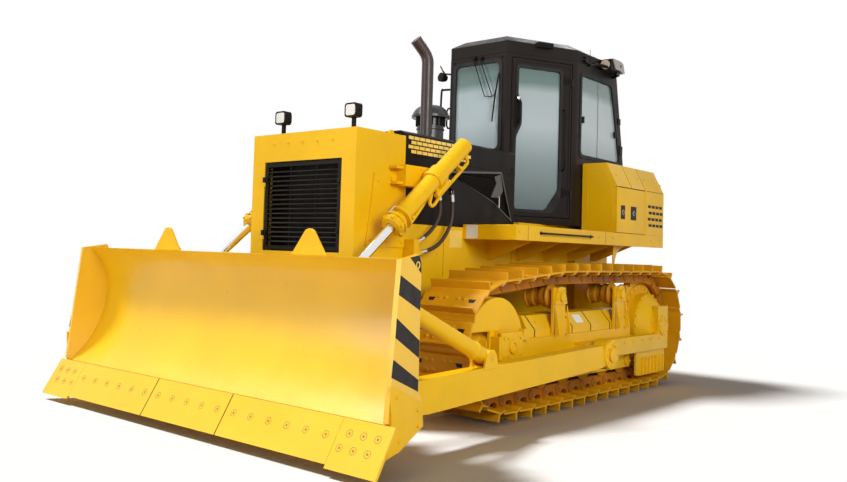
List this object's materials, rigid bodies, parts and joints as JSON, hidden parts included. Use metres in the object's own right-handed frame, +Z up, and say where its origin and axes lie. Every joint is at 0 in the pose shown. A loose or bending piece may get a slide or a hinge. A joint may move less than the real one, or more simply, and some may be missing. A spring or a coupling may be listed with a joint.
{
  "type": "track-type bulldozer",
  "caption": "Track-type bulldozer with a straight blade on push arms, twin lift cylinders, six-sided cab and drawbar.",
  "frame": {"origin": "ground level under the middle of the machine's plan, blade and drawbar included", "axes": "-Y ahead (blade), +X to the machine's left, +Z up"},
  "size_m": [3.297, 5.447, 3.15],
  "materials": {
    "yellow_paint": "semi-gloss enamel",
    "black_paint": "satin black enamel",
    "cab_paint": "satin brown-black enamel",
    "chrome": "ground chrome",
    "black_plastic": "grained",
    "hose_rubber": "wrapped rubber hose",
    "seat_fabric": "woven",
    "glass": "clear, faint green tint"
  },
  "bodies": {
    "chassis": {"cab_floor": "cab_paint", "cab_glass": "glass", "cab_mount": "yellow_paint", "cab_roof": "cab_paint", "cab_shell": "cab_paint", "console": "black_plastic", "drawbar": "yellow_paint", "engine_block": "black_paint", "equalizer_bar": "yellow_paint", "exhaust_pipe": "black_paint", "fender_left": "yellow_paint", "fender_right": "yellow_paint", "final_drive_left": "yellow_paint", "final_drive_right": "yellow_paint", "fuel_tank": "yellow_paint", "headlamps": "black_paint", "hood": "black_paint", "hose_long_left": "hose_rubber", "hose_long_right": "hose_rubber", "hose_short_left": "hose_rubber", "hose_short_right": "hose_rubber", "idler_left": "yellow_paint", "idler_right": "yellow_paint", "main_frame": "yellow_paint", "precleaner": "black_paint", "radiator_core": "black_paint", "radiator_guard": "yellow_paint", "rear_box_left": "yellow_paint", "rear_box_right": "yellow_paint", "rear_case": "yellow_paint", "rollers_left": "yellow_paint", "rollers_right": "yellow_paint", "roof_lamps": "black_paint", "seat": "seat_fabric", "track_frame_left": "yellow_paint", "track_frame_right": "yellow_paint", "track_left": "yellow_paint", "track_right": "yellow_paint"},
    "blade_assembly": {"blade": "yellow_paint", "brace_left": "yellow_paint", "brace_right": "yellow_paint", "cutting_edge": "yellow_paint", "push_arm_left": "yellow_paint", "push_arm_right": "yellow_paint", "spill_plates": "yellow_paint"},
    "lift_barrel_left": {"lift_barrel_left": "yellow_paint"},
    "lift_barrel_right": {"lift_barrel_right": "yellow_paint"},
    "lift_rod_left": {"lift_rod_left": "chrome"},
    "lift_rod_right": {"lift_rod_right": "chrome"},
    "grille_door": {"grille_door": "black_paint"},
    "door_left": {"door_left": "cab_paint", "door_glass_left": "glass"},
    "door_right": {"door_right": "cab_paint", "door_glass_right": "glass"},
    "box_door_left": {"box_door_left": "yellow_paint"},
    "box_door_right": {"box_door_right": "yellow_paint"}
  },
  "joints": [
    {"name": "blade_lift", "type": "hinge", "parent": "chassis", "child": "blade_assembly", "pos_m": [0, 0.382, 0.41], "axis": [1, 0, 0], "range_deg": [-19, 8]},
    {"name": "lift_swing_left", "type": "hinge", "parent": "chassis", "child": "lift_barrel_left", "pos_m": [0.72, -1.09, 1.708], "axis": [1, 0, 0], "range_deg": [-30.2, 12.8]},
    {"name": "lift_stroke_left", "type": "slide", "parent": "lift_barrel_left", "child": "lift_rod_left", "axis": [0, -0.7859, -0.6184], "range_m": [-0.586, 0.248]},
    {"name": "lift_swing_right", "type": "hinge", "parent": "chassis", "child": "lift_barrel_right", "pos_m": [-0.72, -1.09, 1.708], "axis": [1, 0, 0], "range_deg": [-30.2, 12.8]},
    {"name": "lift_stroke_right", "type": "slide", "parent": "lift_barrel_right", "child": "lift_rod_right", "axis": [0, -0.7859, -0.6184], "range_m": [-0.586, 0.248]},
    {"name": "door_left_hinge", "type": "hinge", "parent": "chassis", "child": "door_left", "pos_m": [0.61764, 1.06973, 2.2], "axis": [0, 0, 1], "range_deg": [0, 100]},
    {"name": "box_door_left_hinge", "type": "hinge", "parent": "chassis", "child": "box_door_left", "pos_m": [1, 1.24, 1.6], "axis": [0, 0, -1], "range_deg": [0, 90]},
    {"name": "door_right_hinge", "type": "hinge", "parent": "chassis", "child": "door_right", "pos_m": [-0.61764, 1.06973, 2.2], "axis": [0, 0, -1], "range_deg": [0, 100]},
    {"name": "box_door_right_hinge", "type": "hinge", "parent": "chassis", "child": "box_door_right", "pos_m": [-1, 1.24, 1.6], "axis": [0, 0, 1], "range_deg": [0, 90]},
    {"name": "grille_door_hinge", "type": "hinge", "parent": "chassis", "child": "grille_door", "pos_m": [-0.391, -1.727, 1.45], "axis": [0, 0, -1], "range_deg": [0, 100]}
  ],
  "couplings": [
    {"joint": "lift_swing_left", "follows": "blade_lift", "ratio": 1.583},
    {"joint": "lift_stroke_left", "follows": "blade_lift", "m_per_rad": 1.762},
    {"joint": "lift_swing_right", "follows": "blade_lift", "ratio": 1.583},
    {"joint": "lift_stroke_right", "follows": "blade_lift", "m_per_rad": 1.762}
  ]
}
